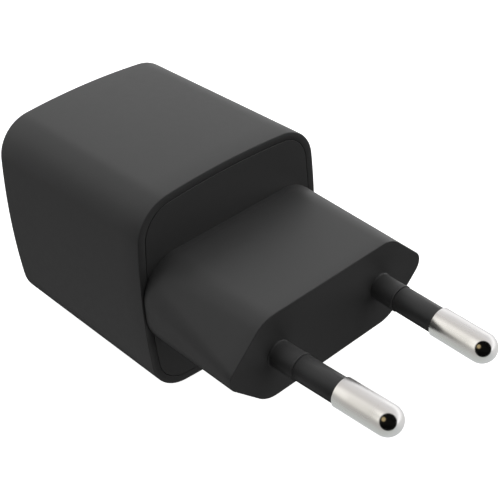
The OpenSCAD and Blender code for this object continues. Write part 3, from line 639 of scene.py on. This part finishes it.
def disc(name, radius, z, n=96):
    bm = bmesh.new()
    turns = [2 * math.pi * i / n for i in range(n)]
    bm.faces.new([bm.verts.new((radius * math.cos(a), radius * math.sin(a), z)) for a in turns])
    return stage_object(name, bm)


def dome(name, radius, n=64, rings=16):
    bm = bmesh.new()
    bmesh.ops.create_uvsphere(bm, u_segments=n, v_segments=rings, radius=radius)
    return stage_object(name, bm)


def glow_material(name, diffuse, glow):
    m = bpy.data.materials.new(name)
    m.use_nodes = True
    bsdf = m.node_tree.nodes["Principled BSDF"]
    bsdf.inputs["Base Color"].default_value = (diffuse, diffuse, diffuse, 1)
    bsdf.inputs["Roughness"].default_value = 0.9
    bsdf.inputs["Specular IOR Level"].default_value = 0.0
    bsdf.inputs["Emission Color"].default_value = (1, 1, 1, 1)
    bsdf.inputs["Emission Strength"].default_value = glow
    return m


floor = disc("floor", 2.5, cad_lo.z - 0.0002)
floor.data.materials.append(glow_material("floor_paint", 0.6, 1.0))
backdrop = dome("backdrop", 2.4)
backdrop.data.materials.append(glow_material("backdrop_paint", 0.0, 1.05))
for o in (floor, backdrop):
    o.visible_glossy = False
    o.visible_diffuse = False
    o.visible_shadow = False
    o.visible_transmission = False

# ---------------------------------------------------------------- light
world = bpy.data.worlds.new("studio")
bpy.context.scene.world = world
world.use_nodes = True
wt = world.node_tree
wt.nodes.clear()
w_out = node(wt, "ShaderNodeOutputWorld")
w_bg = node(wt, "ShaderNodeBackground")
links(wt, (w_bg.outputs["Background"], w_out.inputs["Surface"]))
w_bg.inputs["Color"].default_value = (1, 1, 1, 1)
w_bg.inputs["Strength"].default_value = 0.02


def area(name, at, aim, size, power):
    light = bpy.data.lights.new(name, "AREA")
    light.energy, light.size = power, size
    o = bpy.data.objects.new(name, light)
    o.location = Vector(at)
    o.rotation_mode = "QUATERNION"
    o.rotation_quaternion = (Vector(aim) - Vector(at)).to_track_quat("-Z", "Y")
    bpy.context.scene.collection.objects.link(o)
    return o


# Softboxes round the object: elevation, then azimuth and power. Azimuth 0 is the side of the pins.
# These numbers are a scratch program's, not a design: it picked 14 boxes from a grid and fitted their
# powers to the photograph's tones. They were rounded, and two at -40 (0 and 270) changed.
SOFTBOXES = {
    90: ((0, 0.40),),
    45: ((45, 0.60), (135, 0.50), (180, 0.22), (225, 0.31), (270, 0.20)),
    5: ((45, 0.32), (90, 1.30), (135, 0.34), (180, 0.46), (225, 0.18)),
    -40: ((0, 0.30), (225, 0.15), (270, 0.12)),
}
SOFTBOX_SIZE, SOFTBOX_DISTANCE = 0.38, 0.5
centre = Vector((0, 0.02, 0))
for elevation, boxes in SOFTBOXES.items():
    for azimuth, power in boxes:
        e, a = math.radians(elevation), math.radians(azimuth)
        to_box = Vector((math.sin(a) * math.cos(e), -math.cos(a) * math.cos(e), math.sin(e)))
        spot = centre + to_box * SOFTBOX_DISTANCE
        area(f"softbox_{azimuth}_{elevation}", spot, centre, SOFTBOX_SIZE, power)

# A white tent, open towards the camera, that only the bright pins mirror. They don't see the softboxes.
# TENT_BANDS goes round the Y axis: degrees from +X towards +Z, and the tint there. The tints were chosen
# from tones read across the pins in the photograph.
TENT_BANDS = (
    (-165, (0.46, 0.45, 0.44)),
    (-130, (0.52, 0.54, 0.53)),
    (-75, (0.58, 0.60, 0.61)),
    (-20, (0.72, 0.72, 0.73)),
    (16, (1.08, 1.08, 1.10)),
    (50, (0.74, 0.73, 0.74)),
    (90, (0.68, 0.66, 0.65)),
    (128, (1.10, 1.08, 1.04)),
    (155, (1.04, 1.02, 0.97)),
    (178, (0.56, 0.55, 0.52)),
)
TENT_OPENING = Vector((-0.60, -0.64, 0.47)).normalized()
TENT_LAMP = Vector((-0.75, -0.08, 0.66)).normalized()
tent = dome("tent", 1.5)
tent_paint = bpy.data.materials.new("tent_paint")
tent_paint.use_nodes = True
tt = tent_paint.node_tree
tt.nodes.clear()
t_out = node(tt, "ShaderNodeOutputMaterial")
t_glow = node(tt, "ShaderNodeEmission")
t_coord = node(tt, "ShaderNodeTexCoord")
t_way = node(tt, "ShaderNodeVectorMath", operation="NORMALIZE")
t_dot = node(tt, "ShaderNodeVectorMath", operation="DOT_PRODUCT")
t_dot.inputs[1].default_value = TENT_OPENING
t_open = node(tt, "ShaderNodeMapRange", interpolation_type="SMOOTHSTEP")
set_range(t_open, 0.44, 0.58, 1.0, 0.005)
t_near = node(tt, "ShaderNodeVectorMath", operation="DOT_PRODUCT")
t_near.inputs[1].default_value = TENT_LAMP
t_lamp = node(tt, "ShaderNodeMapRange", interpolation_type="SMOOTHSTEP")
set_range(t_lamp, 0.95, 0.995, 0.0, 0.4)
t_warm = node(tt, "ShaderNodeEmission", Color=(1.0, 0.78, 0.42, 1))
t_both = node(tt, "ShaderNodeAddShader")
t_split = node(tt, "ShaderNodeSeparateXYZ")
t_join = node(tt, "ShaderNodeCombineXYZ")
t_round = node(tt, "ShaderNodeTexGradient", gradient_type="RADIAL")
t_bands = node(tt, "ShaderNodeValToRGB")
t_bands.color_ramp.interpolation = "EASE"
stops = t_bands.color_ramp.elements
stops.remove(stops[1])
for angle, tint in TENT_BANDS:
    stops.new(0.5 + angle / 360).color = (*tint, 1)
stops.remove(stops[0])
links(
    tt,
    (t_coord.outputs["Object"], t_way.inputs[0]),
    (t_way.outputs[0], t_dot.inputs[0]),
    (t_dot.outputs["Value"], t_open.inputs["Value"]),
    (t_coord.outputs["Object"], t_split.inputs[0]),
    (t_split.outputs["X"], t_join.inputs["X"]),
    (t_split.outputs["Z"], t_join.inputs["Y"]),
    (t_join.outputs[0], t_round.inputs[0]),
    (t_round.outputs["Fac"], t_bands.inputs["Fac"]),
    (t_bands.outputs["Color"], t_glow.inputs["Color"]),
    (t_open.outputs["Result"], t_glow.inputs["Strength"]),
    (t_way.outputs[0], t_near.inputs[0]),
    (t_near.outputs["Value"], t_lamp.inputs["Value"]),
    (t_lamp.outputs["Result"], t_warm.inputs["Strength"]),
    (t_glow.outputs[0], t_both.inputs[0]),
    (t_warm.outputs[0], t_both.inputs[1]),
    (t_both.outputs[0], t_out.inputs["Surface"]),
)
tent.data.materials.append(tent_paint)
tent.visible_camera = tent.visible_diffuse = tent.visible_shadow = tent.visible_transmission = False
for o in made:
    if o["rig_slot"] in ("pin_nickel", "sleeve_plastic"):
        o.visible_glossy = False
bright = bpy.data.collections.new("bright_pins")
matt = bpy.data.collections.new("all_but_bright_pins")
for o in made:
    if o["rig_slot"] == "pin_nickel":
        for group, state in ((bright, "INCLUDE"), (matt, "EXCLUDE")):
            group.objects.link(o)
            group.collection_objects[-1].light_linking.link_state = state
tent.light_linking.receiver_collection = bright
for o in bpy.data.objects:
    if o.type == "LIGHT":
        o.light_linking.receiver_collection = matt

# ---------------------------------------------------------------- camera
# The angles, distance, target and lens are as a scratch program solved them from points on the
# photograph's outline. Lengths are in millimetres.
AZIMUTH, ELEVATION, ROLL = math.radians(-41.3612), math.radians(35.9337), math.radians(-3.0591)
DISTANCE = 144.1017
TARGET = Vector((-2.5083, 12.0, 6.0699))
back = Vector((
    math.sin(AZIMUTH) * math.cos(ELEVATION),
    -math.cos(AZIMUTH) * math.cos(ELEVATION),
    math.sin(ELEVATION),
))
right = Vector((math.cos(AZIMUTH), math.sin(AZIMUTH), 0))
up = back.cross(right)
cam_right = math.cos(ROLL) * right + math.sin(ROLL) * up
cam_up = -math.sin(ROLL) * right + math.cos(ROLL) * up
camera = bpy.data.objects.new("camera", bpy.data.cameras.new("camera"))
camera.data.sensor_width, camera.data.sensor_fit = 36.0, "HORIZONTAL"
camera.data.lens = 80.43
camera.data.clip_start, camera.data.clip_end = 0.01, 10.0
turn = Matrix((cam_right, cam_up, back)).transposed().to_4x4()
camera.matrix_world = Matrix.Translation((TARGET + back * DISTANCE) * MM) @ turn
bpy.context.scene.collection.objects.link(camera)
bpy.context.scene.camera = camera
bpy.context.scene.view_settings.view_transform = "Standard"
